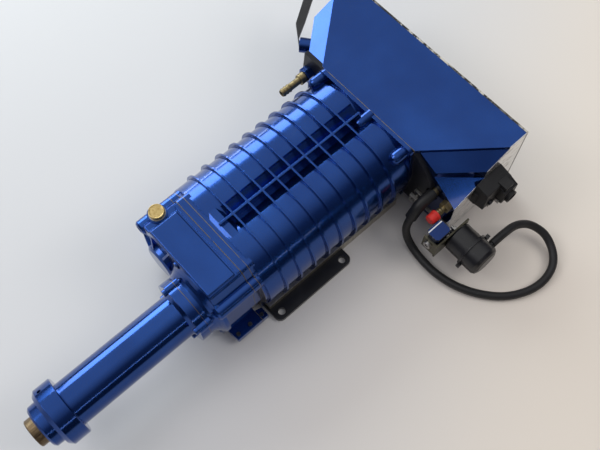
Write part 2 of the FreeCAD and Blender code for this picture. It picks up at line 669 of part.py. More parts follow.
def rotorLines():
    node("drive_rotor", rotor("driveRotor", driveSide, 1, 0))
    node("driven_rotor", rotor("drivenRotor", drivenSide, -1, 0))
    node("drive_rotor_shaft", rod("driveShaft", "shaftRadius", "97.5 + 146.5",
                                  ("-146.5", driveSide, "axisHeight")))
    node("driven_rotor_shaft", rod("drivenShaft", "shaftRadius", "97.5 + 137",
                                   ("-137", drivenSide, "axisHeight")))
    node("drive_timing_gear", timingGear("driveGear", driveSide, 0))
    node("driven_timing_gear", timingGear("drivenGear", drivenSide, 1))
    seat = ("plateFront", "plateFront + bearingSeat")
    node("drive_bearing_inner_race", ring("driveInnerRace", "shaftRadius", "raceInner", *seat, driveSide))
    node("driven_bearing_inner_race", ring("drivenInnerRace", "shaftRadius", "raceInner", *seat, drivenSide))
    node("rotor_shaft_seals", group("rotorSeals", [
        ring("rotorSeal%d" % index, "shaftRadius + runningGap", "sealOuter", "plateFront + bearingSeat",
             "caseFront + 4", y) for index, y in enumerate(sides)]))
    node("rear_needle_bearings", group("needleShells", [
        ring("needleShell%d" % index, "shaftRadius + runningGap", "12.5", "80", "98", y)
        for index, y in enumerate(sides)]))


def plenumSolid(name, low, corner, cornerTop, half, frontHalf, topHalf, start, topStart, base, top, end,
                thick):
    """Flared box: straight walls up to the shoulders, shoulders leaning in, and a flat top slab."""
    walls = [(start, "-(%s)" % frontHalf), (corner, "-(%s)" % half), (end, "-(%s)" % half),
             (end, half), (corner, half), (start, frontHalf)]
    crown = [(start, "-(%s)" % topHalf), (cornerTop, "-(%s)" % half), (end, "-(%s)" % half),
             (end, half), (cornerTop, half), (start, topHalf)]
    body = doc.addObject("PartDesign::Body", name)
    wallSketch = outline(body, "XY_Plane", walls, base)
    pad = body.newObject("PartDesign::Pad", "Walls")
    pad.Profile = wallSketch
    pad.setExpression("Length", linked("(%s) - (%s)" % (low, base)))
    lowSketch = outline(body, "XY_Plane", walls, low)
    highSketch = outline(body, "XY_Plane", crown, top)
    shoulders = body.newObject("PartDesign::AdditiveLoft", "Shoulders")
    shoulders.Profile = lowSketch
    shoulders.Sections = [highSketch]
    shoulders.Ruled = True
    if thick:
        slabPoints = [(topStart, "-seamHalf"), (cornerTop, "-(%s)" % half), (end, "-(%s)" % half),
                      (end, half), (cornerTop, half), (topStart, "seamHalf")]
        slabSketch = outline(body, "XY_Plane", slabPoints, top)
        lid = body.newObject("PartDesign::Pad", "TopPlate")
        lid.Profile = slabSketch
        lid.setExpression("Length", linked(thick))
    return body


def plenum():
    outer = plenumSolid("plenumOuter", "shoulderLow", "wallCorner", "topCorner", "mouthHalf", "wallFrontHalf",
                        "topFrontHalf", "plenumFront", "caseRear", "plenumBase", "shoulderTop", "mouth",
                        "plenumTop - shoulderTop")
    inner = plenumSolid("plenumInner", "shoulderLow", "innerCorner", "innerTopCorner",
                        "mouthHalf - plenumWall", "innerFrontHalf", "innerTopHalf",
                        "plenumFront + plenumWall", "plenumFront + plenumWall", "plenumBase + plenumWall",
                        "shoulderTop - plenumWall + 2", "mouth + 1", None)
    pocket = slab("pocketBlock", "XY_Plane", [
        ("plenumFront", "-wallFrontHalf + 1"), ("plenumFront", "-mouthHalf"), ("wallCorner + 1",
                                                                               "-mouthHalf"),
    ], "plenumBase", "90")
    lean = pocketRoof()
    pocketSolid = common("pocketSolid", pocket, lean)
    shell = fuse("plenumShell", cut("plenumHollow", outer, inner),
                 cut("pocketOutside", pocketSolid, plenumCopy()))
    tabBlock = slab("plenumTabBlock", "XY_Plane", [
        ("80", "-129.5"), ("92", "-128.5"), ("plenumFront + 4", "-121"), ("plenumFront + 4", "-131.2"),
        ("95", "-134"), ("91", "-140"), ("80", "-140")], "15", "18.5")
    tabTop = slab("plenumTabTop", "XY_Plane", [
        ("72.5", "-129.0"), ("93", "-129.0"), ("93", "-145"), ("72.5", "-145")], "33", "27")
    rounded(tabTop, "4", lambda edge: runsAlong(edge, 2))
    farBoss = rod("plenumFarBoss", "8.5", "16", ("134", "111.5", "76"), (-0.643, 0.766, 0))
    sleeveHole = rod("plenumValveHole", "valveBore", "9", ("valveAlong", "valveSide", "plenumBase - 2"), (0,
                                                                                                          0, 1))
    shaftHole = rod("plenumShaftHole", "6", "30", ("plenumFront - 5", "valveSide", "valveHeight"))
    barbHoles = [rod("plenumBarbHole%d" % index, "3.5", "45", ("plenumFront - 2", y, z))
                 for index, (y, z) in enumerate((("-103", "62"), ("-122", "58")))]
    bracketHole = rod("plenumBracketHole", "2.5", "16", ("71", "-137", "45"))
    screwHoles = [rod("plenumScrewHole%d" % index, "2.6", "12", ("plenumFront - 6", y, z))
                  for index, (y, z) in enumerate(rearScrews)]
    farHole = rod("plenumFarHole", "3", "30", ("138", "107", "76"), (-0.643, 0.766, 0))
    sensorHoles = [rod("plenumSensorHole%d" % index, "1.6", "8", (x, "-mouthHalf - 1", z), (0, 1, 0))
                   for index, (x, z) in enumerate((("148", "56"), ("170", "66")))]
    node("inlet_plenum", cut("inletPlenum", fuse("plenumBlank", shell, tabBlock, tabTop, farBoss),
                             inletPort("plenumPort", "110", "118"), sleeveHole, shaftHole, *barbHoles,
                             bracketHole, farHole, *sensorHoles, *screwHoles))
    bead = slab("beadBlank", "YZ_Plane", [
        ("-mouthHalf", "plenumBase"), ("mouthHalf", "plenumBase"),
        ("mouthHalf", "plenumTop"), ("-mouthHalf", "plenumTop")], "mouth", "2.2")
    beadHole = span("beadHole", ("mouth - 1", "mouth + 3"), ("-mouthHalf + 3", "mouthHalf - 3"),
                    ("plenumBase + 3", "plenumTop - 3.5"))
    node("mouth_gasket", cut("mouthGasket", bead, beadHole))
    adapter = slab("adapterBlank", "YZ_Plane", [
        ("-76", "caseBase + 2"), ("-84", "caseBase + 2"), ("-92", "38"), ("-101.5", "68"), ("-97", "78"),
        ("-86", "92"), ("-70", "shoulderTop"),
        ("97", "shoulderTop"), ("100", "66"), ("88", "48"), ("76", "40"), ("76", "caseBase + 2"),
    ], "caseRear", "plenumFront - caseRear")
    adapterHoles = [rod("adapterHole%d" % index, "2.6", "8", ("caseRear - 1", y, z))
                    for index, (y, z) in enumerate(rearScrews)]
    barbHole = rod("adapterBarbHole", "4.5", "8", ("caseRear - 1", "87.5", "79"))
    elbowRoom = rod("adapterElbowRoom", "8", "8", ("caseRear - 1", "-103", "62"))
    node("adapter_plate", cut("adapterPlate", adapter, inletPort("adapterPort", "100", "114"),
                              *adapterHoles, barbHole, elbowRoom))


def pocketRoof():
    """Half-space under the sloping lid of the plenum's lower front corner."""
    lowOuter = Vector(size("plenumFront"), -size("mouthHalf"), size("pocketLow"))
    highOuter = Vector(size("wallCorner"), -size("mouthHalf"), size("pocketHigh"))
    highInner = Vector(size("plenumFront"), -size("wallFrontHalf"), size("pocketInner"))
    up = (highOuter - lowOuter).cross(highInner - lowOuter).normalize()
    if up.z < 0:
        up = up * -1
    roof = doc.addObject("Part::Box", "pocketRoof")
    roof.Length, roof.Width, roof.Height = 300, 300, 200
    turn = Rotation(Vector(0, 0, 1), up)
    corner = lowOuter - turn.multVec(Vector(150, 150, 200))
    roof.Placement = FreeCAD.Placement(corner, turn)
    return roof


def plenumCopy():
    """A second outer form, used only to trim the pocket back to the wall."""
    return plenumSolid("plenumTrim", "shoulderLow", "wallCorner", "topCorner", "mouthHalf", "wallFrontHalf",
                       "topFrontHalf", "plenumFront", "caseRear", "plenumBase", "shoulderTop", "mouth", None)


def fittings():
    node("rubber_elbow", rubberElbow())
    barb = turned("elbowBarbTurned", [
        ("97", "2.6"), ("97", "4.2"), ("99", "4.9"), ("100", "4"), ("103", "4.9"), ("104", "4.2"),
        ("108", "4.2"), ("108", "5.5"), ("plenumFront", "5.5"), ("plenumFront", "3.4"),
        ("plenumFront + 6", "3.4"), ("plenumFront + 6", "2.6")], ("0", "-103", "62"))
    node("elbow_barb", barb)
    nut = hexHead("capBarbHex", ("plenumFront - 7", "-122", "58"), (1, 0, 0), "6.6", "7")
    stem = turned("capBarbTurned", [
        ("90.6", "0"), ("90.6", "3.4"), ("93", "3.4"), ("94", "4.1"), ("96", "3.5"), ("97", "4.1"),
        ("99", "3.5"), ("100", "4.1"), ("102", "3.5"), ("plenumFront", "3.5"), ("plenumFront + 7", "3.4"),
        ("plenumFront + 7", "0")], ("0", "-122", "58"))
    node("capped_barb", fuse("cappedBarb", nut, stem))
    cap = turned("redCapTurned", [
        ("83.5", "0"), ("83.5", "4.6"), ("84.6", "5.7"), ("91.5", "5.7"), ("91.5", "6.2"), ("94.5", "6.2"),
        ("94.5", "4.4"), ("90.4", "4.4"), ("90.4", "0")], ("0", "-122", "58"))
    node("red_vacuum_cap", cap)
    node("side_barb_nut", cut("sideNut", hexHead("sideNutHex", ("caseRear - 9", "87.5", "79"), (1, 0, 0),
                                                 "9", "9"),
                              rod("sideNutHole", "4.6", "12", ("caseRear - 10", "87.5", "79"))))
    node("side_barb", turned("sideBarb", [
        ("64", "2.6"), ("64", "3.8"), ("67", "5"), ("68", "4"), ("71", "5"), ("72", "4"), ("75", "5"),
        ("76", "4.1"), ("90", "4.1"), ("90", "6.2"), ("caseRear - 9.2", "6.2"), ("caseRear - 9.2", "4.4"),
        ("caseRear + 4", "4.4"), ("caseRear + 4", "2.6")], ("0", "87.5", "79")))
    strut = slab("strutBlank", "XY_Plane", [
        ("119.9", "120.6"), ("126.6", "126.2"), ("127.6", "130.6"), ("150", "143.5"), ("196", "173"),
        ("200", "181"), ("192", "183"), ("140", "148.5")], "73", "4")
    node("rear_strut", strut)


def rubberElbow():
    """Moulded bend: a sleeve on the barb, a quarter-like bend and a thicker cuff for the hose."""
    start = Vector(109 - 1, -103, 62)
    bendStart = Vector(99, -103, 62)
    radius = 17.0
    turn = math.radians(58)
    middle = Vector(bendStart.x - radius * math.sin(turn / 2), -103, 62 - radius * (1 - math.cos(turn / 2)))
    bendEnd = Vector(bendStart.x - radius * math.sin(turn), -103, 62 - radius * (1 - math.cos(turn)))
    heading = Vector(-math.cos(turn), 0, -math.sin(turn))
    end = bendEnd + heading * 12
    path = Part.Wire([Part.makeLine(start, bendStart), Part.Arc(bendStart, middle, bendEnd).toShape(),
                      Part.makeLine(bendEnd, end)])
    outer = Part.Wire([Part.makeCircle(6.4, start, Vector(-1, 0, 0))])
    tube = path.makePipeShell([outer], True, False)
    barbRoom = Part.makeCylinder(5.0, 14, Vector(96, -103, 62), Vector(1, 0, 0))
    hoseRoom = Part.makeCylinder(size("hoseOuter"), 10.02, end + heading * 0.01, heading * -1)
    feature = doc.addObject("Part::Feature", "rubberElbow")
    feature.Shape = tube.cut(barbRoom).cut(hoseRoom)
    return feature


def sensor():
    body = slab("sensorBlock", "YZ_Plane", [
        ("-mouthHalf - 17", "46"), ("-mouthHalf - 0.1", "42"), ("-mouthHalf - 0.1", "80"),
        ("-mouthHalf - 17", "76")], "140", "37")
    rounded(body, "2", lambda edge: runsAlong(edge, 0) and edge.CenterOfMass.y < -140)
    plug = slab("sensorPlugBody", "YZ_Plane", [
        ("-mouthHalf - 26", "50"), ("-mouthHalf - 15", "46"), ("-mouthHalf - 15", "74"),
        ("-mouthHalf - 26", "70")], "158.3", "19.7")
    port = rod("sensorPort", "7.5", "10", ("168", "-mouthHalf - 30", "58"), (0, 1, 0))
    socket = rod("sensorSocket", "5.8", "12", ("168", "-mouthHalf - 31", "58"), (0, 1, 0))
    key = span("sensorKey", ("160", "172"), ("-mouthHalf - 24", "-mouthHalf - 12"), ("72", "78"))
    tab = span("sensorTab", ("138", "146"), ("-mouthHalf - 6", "-mouthHalf - 0.1"), ("46", "66"))
    hole = rod("sensorScrewHole", "1.8", "19", ("148", "-mouthHalf - 18", "56"), (0, 1, 0))
    blank = fuse("sensorBlank", body, plug, port, key, tab)
    node("pressure_sensor", cut("pressureSensor", blank, socket, hole))
    node("sensor_screw", capScrew("sensorScrew", ("148", "-mouthHalf - 17", "56"), (0, 1, 0), "3.2", "3",
                                  "1.5", "20"))
    clip = slab("clipBlank", "XY_Plane", [
        ("146", "-mouthHalf - 17.4"), ("158", "-mouthHalf - 17.4"), ("158", "-mouthHalf - 23"),
        ("156.8", "-mouthHalf - 23"), ("156.8", "-mouthHalf - 18.6"), ("146",
                                                                       "-mouthHalf - 18.6")], "47", "5")
    node("sensor_clip", clip)


def bypassValve():
    sleeve = rod("valveSleeveOuter", "valveBore + 3", "50", ("valveAlong", "valveSide", "plenumBase + 3.1"),
                 (0, 0, 1))
    bore = rod("valveSleeveBore", "valveBore", "60", ("valveAlong", "valveSide", "plenumBase - 2"), (0, 0, 1))
    cross = rod("valveSleeveCross", "4.06", "60", ("valveAlong - 30", "valveSide", "valveHeight"))
    node("valve_sleeve", cut("valveSleeve", sleeve, bore, cross))
    bush = rod("valveBushOuter", "6", "12", ("plenumFront - 3", "valveSide", "valveHeight"))
    bushHole = rod("valveBushHole", "4.06", "20", ("plenumFront - 6", "valveSide", "valveHeight"))
    node("valve_bush", cut("valveBush", bush, bushHole))
    shaft = rod("valveShaftRod", "4", "valveAlong + 20 - 97", ("97", "valveSide", "valveHeight"))
    flat = span("valveShaftFlat", ("valveAlong - valveBore + 0.2", "valveAlong + valveBore - 0.2"),
                ("valveSide - 5", "valveSide + 5"), ("valveHeight", "valveHeight + 5"))
    screwPlaces = ("valveAlong - 8", "valveAlong + 8")
    shaftHoles = [rod("valveShaftHole%d" % index, "1.2", "10", (x, "valveSide", "valveHeight - 5"), (0, 0, 1))
                  for index, x in enumerate(screwPlaces)]
    node("bypass_shaft", cut("bypassShaft", shaft, flat, *shaftHoles))
    disc = rod("valveDiscBlank", "valveDisc", "1.8", ("valveAlong", "valveSide", "valveHeight"), (0, 0, 1))
    discHoles = [rod("valveDiscHole%d" % index, "1.2", "10", (x, "valveSide", "valveHeight - 5"), (0, 0, 1))
                 for index, x in enumerate(screwPlaces)]
    node("butterfly_disc", cut("butterflyDisc", disc, *discHoles))
    screws = [fuse("valveScrew%d" % index,
                   rod("valveScrewHead%d" % index, "2.2", "1.2", (x, "valveSide", "valveHeight + 1.8"), (0,
                                                                                                         0, 1)),
                   rod("valveScrewStem%d" % index, "1.15", "5", (x, "valveSide", "valveHeight - 3.2"), (0, 0,
                                                                                                        1)))
              for index, x in enumerate(screwPlaces)]
    node("butterfly_screws", group("valveScrews", screws))
    lever()


def lever():
    """Arm on the valve shaft, leaning back at rest, with the pin that the rod's fork drives."""
    body = slab("leverArm", "YZ_Plane", [
        ("-6.5", "-6.5"), ("6.5", "-6.5"), ("4.4", "leverReach + 3"), ("2.5", "leverReach + 4.6"),
        ("-2.5", "leverReach + 4.6"), ("-4.4", "leverReach + 3")], "rodAlong - 1.5", "3")
    rounded(body, "3", lambda edge: runsAlong(edge, 0) and edge.CenterOfMass.z < 0)
    hole = rod("leverHole", "4", "8", ("rodAlong - 4", "0", "0"))
    pin = rod("leverPin", "2.5", "11", ("rodAlong - 5.5", "0", "leverReach"))
    arm = fuse("leverWithPin", cut("leverDrilled", body, hole), pin)
    arm.Placement = FreeCAD.Placement(Vector(0, size("valveSide"), size("valveHeight")),
                                      Rotation(Vector(1, 0, 0), -size("leverSwing")))
    node("bypass_lever", arm)
    node("lever_nut", cut("leverNut", hexHead("leverNutHex", ("97", "valveSide", "valveHeight"), (1, 0, 0),
                                              "6", "2.4"),
                          rod("leverNutHole", "4", "6", ("96", "valveSide", "valveHeight"))))


def actuator():
    """Vacuum canister whose rod pulls the lever: made along +X and turned to point to -Y."""
    outward = (0, -1, 0)
    base = ("rodAlong", "0", "rodHeight")
    pinRest = size("valveSide") + size("leverReach") * math.sin(math.radians(size("leverSwing")))
    front = turned("canFrontTurned", [
        ("canFront", "3.2"), ("canFront", "canRadius - 2"), ("canFront + 2", "canRadius"),
        ("canSeam - 1.5", "canRadius"), ("canSeam - 1.5", "20"), ("canSeam", "20"),
        ("canSeam", "canRadius - 1.4"), ("canFront + 1.5", "canRadius - 1.4"), ("canFront + 1.5", "3.2"),
    ], base, outward)
    node("actuator_front_shell", front)
    rear = turned("canRearTurned", [
        ("canSeam", "canRadius - 1.4"), ("canSeam", "20"), ("canSeam + 1.6", "20"), ("canSeam + 1.6",
                                                                                     "canRadius + 1"),
        ("canRear - 5", "canRadius + 1"), ("canRear - 1.6", "canRadius - 1"), ("canRear", "canRadius - 4.5"),
        ("canRear", "0"), ("canRear - 1.6", "0"), ("canRear - 1.6", "canRadius - 5.2"),
        ("canRear - 3", "canRadius - 2.6"), ("canRear - 6", "canRadius - 1.4"),
    ], base, outward)
    nipple = rod("canNipple", "3.1", "16", ("rodAlong + 13.1", "-canRear + 11", "rodHeight"))
    nippleLip = rod("canNippleLip", "3.8", "2", ("rodAlong + 24.6", "-canRear + 11", "rodHeight"))
    nippleBore = rod("canNippleBore", "1.8", "20", ("rodAlong + 11.6", "-canRear + 11", "rodHeight"))
    tabs = [block("canTab%d" % index, ("5", "4", "4"), (x, "-canSeam - 4", z))
            for index, (x, z) in enumerate((("rodAlong + 18", "rodHeight + 3"),
                                            ("rodAlong - 23", "rodHeight - 7")))]
    node("actuator_rear_shell", cut("canRear", fuse("canRearBlank", rear, nipple, nippleLip, *tabs),
                                    nippleBore))
    piston = turned("pistonTurned", [
        ("canFront + 7", "0"), ("canFront + 7", "14.4"), ("canFront + 12", "14.4"), ("canFront + 12", "13.2"),
        ("canFront + 8.4", "13.2"), ("canFront + 8.4", "0")], base, outward)
    node("diaphragm_piston", piston)
    forkEnd = "%.6f" % (-pinRest + 10)
    node("actuator_rod", rod("actuatorRod", "2.5", "canFront + 7 - (%s)" % forkEnd,
                             ("rodAlong", "-(canFront + 7)", "rodHeight"), (0, 1, 0)))
    node("rod_fork", rodFork(pinRest))
    node("actuator_spring", returnSpring())
    bracket()


def rodFork(pinRest):
    """Fork with two slotted ears: the slots give the pin's arc its room."""
    centre = "%.6f" % pinRest
    solid = span("forkBlock", ("rodAlong - 5.2", "rodAlong + 5.2"), (centre + " - 15", centre + " + 5"),
                 ("rodHeight - 4.4", "rodHeight + 7.6"))
    gap = span("forkGap", ("rodAlong - 2", "rodAlong + 2"), (centre + " - 10", centre + " + 6"),
               ("rodHeight - 6", "rodHeight + 9"))
    reach = size("leverReach")
    lowPin = size("valveHeight") + reach * math.cos(math.radians(size("leverSwing")))
    highPin = size("valveHeight") + reach
    slotLow = span("forkSlot", ("rodAlong - 7", "rodAlong + 7"), (centre + " - 2.85", centre + " + 2.85"),
                   ("%.6f" % lowPin, "%.6f" % highPin))
    ends = [rod("forkSlotEnd%d" % index, "2.85", "14", ("rodAlong - 7", centre, "%.6f" % z))
            for index, z in enumerate((lowPin, highPin))]
    stem = rod("forkStemHole", "2.5", "8", ("rodAlong", centre + " - 18", "rodHeight"), (0, 1, 0))
    return cut("rodFork", solid, gap, slotLow, *ends, stem)


def returnSpring():
    """Coil that pushes the piston back: five turns of wire between piston and rear shell."""
    start = size("canFront") + 9.4
    length = size("canRear") - 2.6 - start - 1.6
    coil = Part.makeHelix(length / 5, length, 9.0)
    wire = Part.Wire(coil)
    section = Part.Wire([Part.makeCircle(0.8, Vector(9.0, 0, 0), Vector(0, 1, 0))])
    pipe = wire.makePipeShell([section], True, True)
    feature = doc.addObject("Part::Feature", "returnSpring")
    feature.Shape = pipe
    feature.Placement = FreeCAD.Placement(Vector(size("rodAlong"), -start - 0.8, size("rodHeight")),
                                          Rotation(Vector(0, 0, 1), Vector(0, -1, 0)))
    return feature


def bracket():
    """Stamped bracket: one leg bolted to the plenum's tab, the other carrying the canister."""
    leg = span("bracketLeg", ("70", "72.4"), ("-canFront", "-129"), ("rodHeight - 9", "rodHeight + 13"))
    face = span("bracketFace", ("70", "119"), ("-canFront + 0.1", "-canFront + 2.1"), ("rodHeight - 12",
                                                                                       "rodHeight + 13"))
    holes = [rod("bracketRodHole", "3.6", "10", ("rodAlong", "-canFront - 3", "rodHeight"), (0, 1, 0)),
             rod("bracketBoltHole", "2.6", "8", ("68", "-137", "45"))]
    studs = [rod("bracketStudHole%d" % index, "2.1", "10", ("rodAlong", "-canFront - 3", z), (0, 1, 0))
             for index, z in enumerate(("rodHeight - 8.6", "rodHeight + 8.6"))]
    node("actuator_bracket", cut("actuatorBracket", fuse("bracketBlank", leg, face), *holes, *studs))
    node("bracket_bolt", capScrew("bracketBolt", ("70", "-137", "45"), (1, 0, 0), "4.4", "3.6", "2.4", "15"))
    pieces = []
    for index, z in enumerate(("rodHeight - 8.6", "rodHeight + 8.6")):
        nut = hexHead("studNut%d" % index, ("rodAlong", "-canFront + 2.1", z), (0, 1, 0), "3.8", "3")
        stud = rod("stud%d" % index, "2", "8", ("rodAlong", "-canFront", z), (0, 1, 0))
        pieces.append(fuse("canStud%d" % index, nut, stud))
    node("canister_studs", group("canStuds", pieces))


def base():
    plate = span("outletBlank", ("outletFront", "outletRear"), ("-outletHalf", "outletHalf"), ("0",
                                                                                               "caseBase"))
    port = slab("outletPort", "XY_Plane", [("-86", "-33"), ("12", "0"), ("-86", "33")], "-1", "20")
    rebate = span("outletRebate", ("-95", "11.6"), ("-80", "-55.8"), ("-1", "footThick + 0.05"))
    mountHoles = [rod("outletMountHole%d" % index, "4.2", "11", (x, y, "-1"), (0, 0, 1))
                  for index, (x, y) in enumerate((("-80", "-46"), ("80", "-46"), ("-80", "46"),
                                                  ("80", "46")))]
    footHoles = [rod("outletFootHole%d" % index, "1.9", "12", (x, "-61", "0"), (0, 0, 1))
                 for index, x in enumerate(("-70", "-12"))]
    node("outlet_flange", cut("outletFlange", plate, port, rebate, *mountHoles, *footHoles))
    foot = slab("footBlank", "XY_Plane", [("-95", "-56"), ("-95", "-87"), ("11.3", "-87"), ("11.3", "-56")],
                "0", "footThick")
    rounded(foot, "7", lambda edge: runsAlong(edge, 2) and edge.CenterOfMass.y < -80)
    holes = [rod("footHole%d" % index, "4.1", "8", (x, "-79.2", "-1"), (0, 0, 1))
             for index, x in enumerate(("-85.2", "2.5"))]
    sinks = []
    for index, x in enumerate(("-70", "-12")):
        sinks.append(rod("footSink%d" % index, "3.6", "2.6", (x, "-61", "-0.1"), (0, 0, 1)))
        sinks.append(rod("footBore%d" % index, "1.95", "8", (x, "-61", "-1"), (0, 0, 1)))
    node("foot_bracket", cut("footBracket", foot, *holes, *sinks))
    screws = [capScrew("footFix%d" % index, (x, "-61", "2.5"), (0, 0, 1), "3.4", "2.3", "1.8", "9")
              for index, x in enumerate(("-70", "-12"))]
    node("foot_bracket_screws", group("footFixGroup", screws))


# Route of the free vacuum hose, from the elbow's cuff to the canister's nipple.
hoseRoute = [
    (83.50, -103.0, 52.27), (73.98, -103.0, 37.05), (70.5, -106.5, 19.7), (69.0, -119.0, 7.0),
    (67.0, -137.0, 4.7), (66.5, -158.0, 4.7), (71.5, -182.0, 4.7), (84.0, -207.0, 4.7),
    (106.0, -231.0, 4.7), (140.0, -245.0, 4.7), (172.0, -238.5, 6.0), (187.0, -213.0, 12.0),
    (179.0, -192.0, 23.0), (162.0, -182.5, 33.0), (142.0, -181.0, 38.8), (122.0, -181.0, 39.0),
]


def roundedPath(points):
    """Straight runs joined by tangent arcs, each as large as its two runs allow."""
    edges = []
    last = points[0]
    for before, corner, after in zip(points, points[1:], points[2:]):
        arrive, leave = corner - before, after - corner
        turn = arrive.getAngle(leave)
        reach = 0.45 * min(arrive.Length, leave.Length)
        radius = reach / math.tan(turn / 2)
        start = corner - Vector(arrive).normalize() * reach
        end = corner + Vector(leave).normalize() * reach
        inward = (Vector(leave).normalize() - Vector(arrive).normalize()).normalize()
        centre = corner + inward * (radius / math.cos(turn / 2))
        middle = centre - inward * radius
        edges.append(Part.makeLine(last, start))
        edges.append(Part.Arc(start, middle, end).toShape())
        last = end
        print("hose bend at (%.0f, %.0f, %.0f): radius %.1f mm, turn %.0f degrees"
              % (corner.x, corner.y, corner.z, radius, math.degrees(turn)))
    edges.append(Part.makeLine(last, points[-1]))
    return Part.Wire(edges)


def vacuumHose():
    path = roundedPath([Vector(*point) for point in hoseRoute])
    heading = path.Edges[0].tangentAt(path.Edges[0].FirstParameter)
    section = Part.Wire([Part.makeCircle(size("hoseOuter"), Vector(*hoseRoute[0]), heading)])
    tube = path.makePipeShell([section], True, False)
    expected = math.pi * size("hoseOuter") ** 2 * path.Length
    print("hose length %.1f mm, volume %.1f of %.1f mm3" % (path.Length, tube.Volume, expected))
    nippleRoom = Part.makeCylinder(3.9, 12, Vector(120.5, -181, size("rodHeight")), Vector(1, 0, 0))
    feature = doc.addObject("Part::Feature", "vacuumHose")
    feature.Shape = tube.cut(nippleRoom)
    node("vacuum_hose", feature)


def writeParts():
    doc.recompute()
    for thing in doc.Objects:
        if "Invalid" in thing.State or "Error" in thing.State:
            raise RuntimeError("%s did not rebuild: %s" % (thing.Name, thing.State))
    os.makedirs("parts", exist_ok=True)
    for old in os.listdir("parts"):
        os.remove(os.path.join("parts", old))
    for thing in nodes:
        shape = thing.Shape
        if shape.isNull() or not shape.isValid() or shape.Volume <= 0:
            raise RuntimeError("%s has no valid solid" % thing.Label)
        shape.exportStep("parts/%s.step" % thing.Label)
    print("%d sub-parts written" % len(nodes))


rotorCase()
bearingPlate()
gearCover()
snout()
inputLine()
rotorLines()
plenum()
fittings()
sensor()
bypassValve()
actuator()
base()
vacuumHose()
writeParts()
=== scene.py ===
import bmesh
import bpy
from mathutils import Matrix, Vector

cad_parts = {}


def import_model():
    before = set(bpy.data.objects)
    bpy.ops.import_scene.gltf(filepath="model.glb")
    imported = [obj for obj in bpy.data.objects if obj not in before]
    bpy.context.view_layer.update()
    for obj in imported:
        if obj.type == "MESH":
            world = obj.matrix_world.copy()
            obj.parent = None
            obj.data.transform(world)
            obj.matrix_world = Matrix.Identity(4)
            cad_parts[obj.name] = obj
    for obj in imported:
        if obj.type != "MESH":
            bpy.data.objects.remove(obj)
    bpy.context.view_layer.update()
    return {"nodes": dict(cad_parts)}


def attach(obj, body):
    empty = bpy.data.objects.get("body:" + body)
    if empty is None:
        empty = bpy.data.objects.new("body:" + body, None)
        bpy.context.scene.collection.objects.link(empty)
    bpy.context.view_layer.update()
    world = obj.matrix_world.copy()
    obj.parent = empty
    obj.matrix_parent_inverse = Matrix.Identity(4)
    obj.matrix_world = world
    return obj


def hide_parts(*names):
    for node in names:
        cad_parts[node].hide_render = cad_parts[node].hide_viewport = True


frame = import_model()
nodes = frame["nodes"]
print("frame loaded:", len(nodes), "pieces")


class Wire:  # one output socket, so that shader sums read like ordinary ones
    def __init__(self, finish, socket):
        self.finish = finish
        self.socket = socket

    def math(self, operation, other=None, swap=False):
        first, second = (other, self) if swap else (self, other)
        values = {0: first} if other is None else {0: first, 1: second}
        return self.finish.make("Math", {"operation": operation}, values)

    def __add__(self, other):
        return self.math("ADD", other)

    def __radd__(self, other):
        return self.math("ADD", other)

    def __sub__(self, other):
        return self.math("SUBTRACT", other)

    def __rsub__(self, other):
        return self.math("SUBTRACT", other, swap=True)

    def __mul__(self, other):
        return self.math("MULTIPLY", other)

    def __rmul__(self, other):
        return self.math("MULTIPLY", other)

    def __lt__(self, other):
        return self.math("LESS_THAN", other)

    def __abs__(self):
        return self.math("ABSOLUTE")

    def held(self):  # kept between 0 and 1
        return self.math("MAXIMUM", 0.0).math("MINIMUM", 1.0)

    def ramp(self, low, high):  # 0 below low, 1 above high, smooth between
        values = {"Value": self, "From Min": low, "From Max": high}
        return self.finish.make("MapRange", {"interpolation_type": "SMOOTHSTEP"}, values)

    def between(self, dark, light):  # this share of the way from one colour to the other
        return self.finish.mixed(self, dark, light)


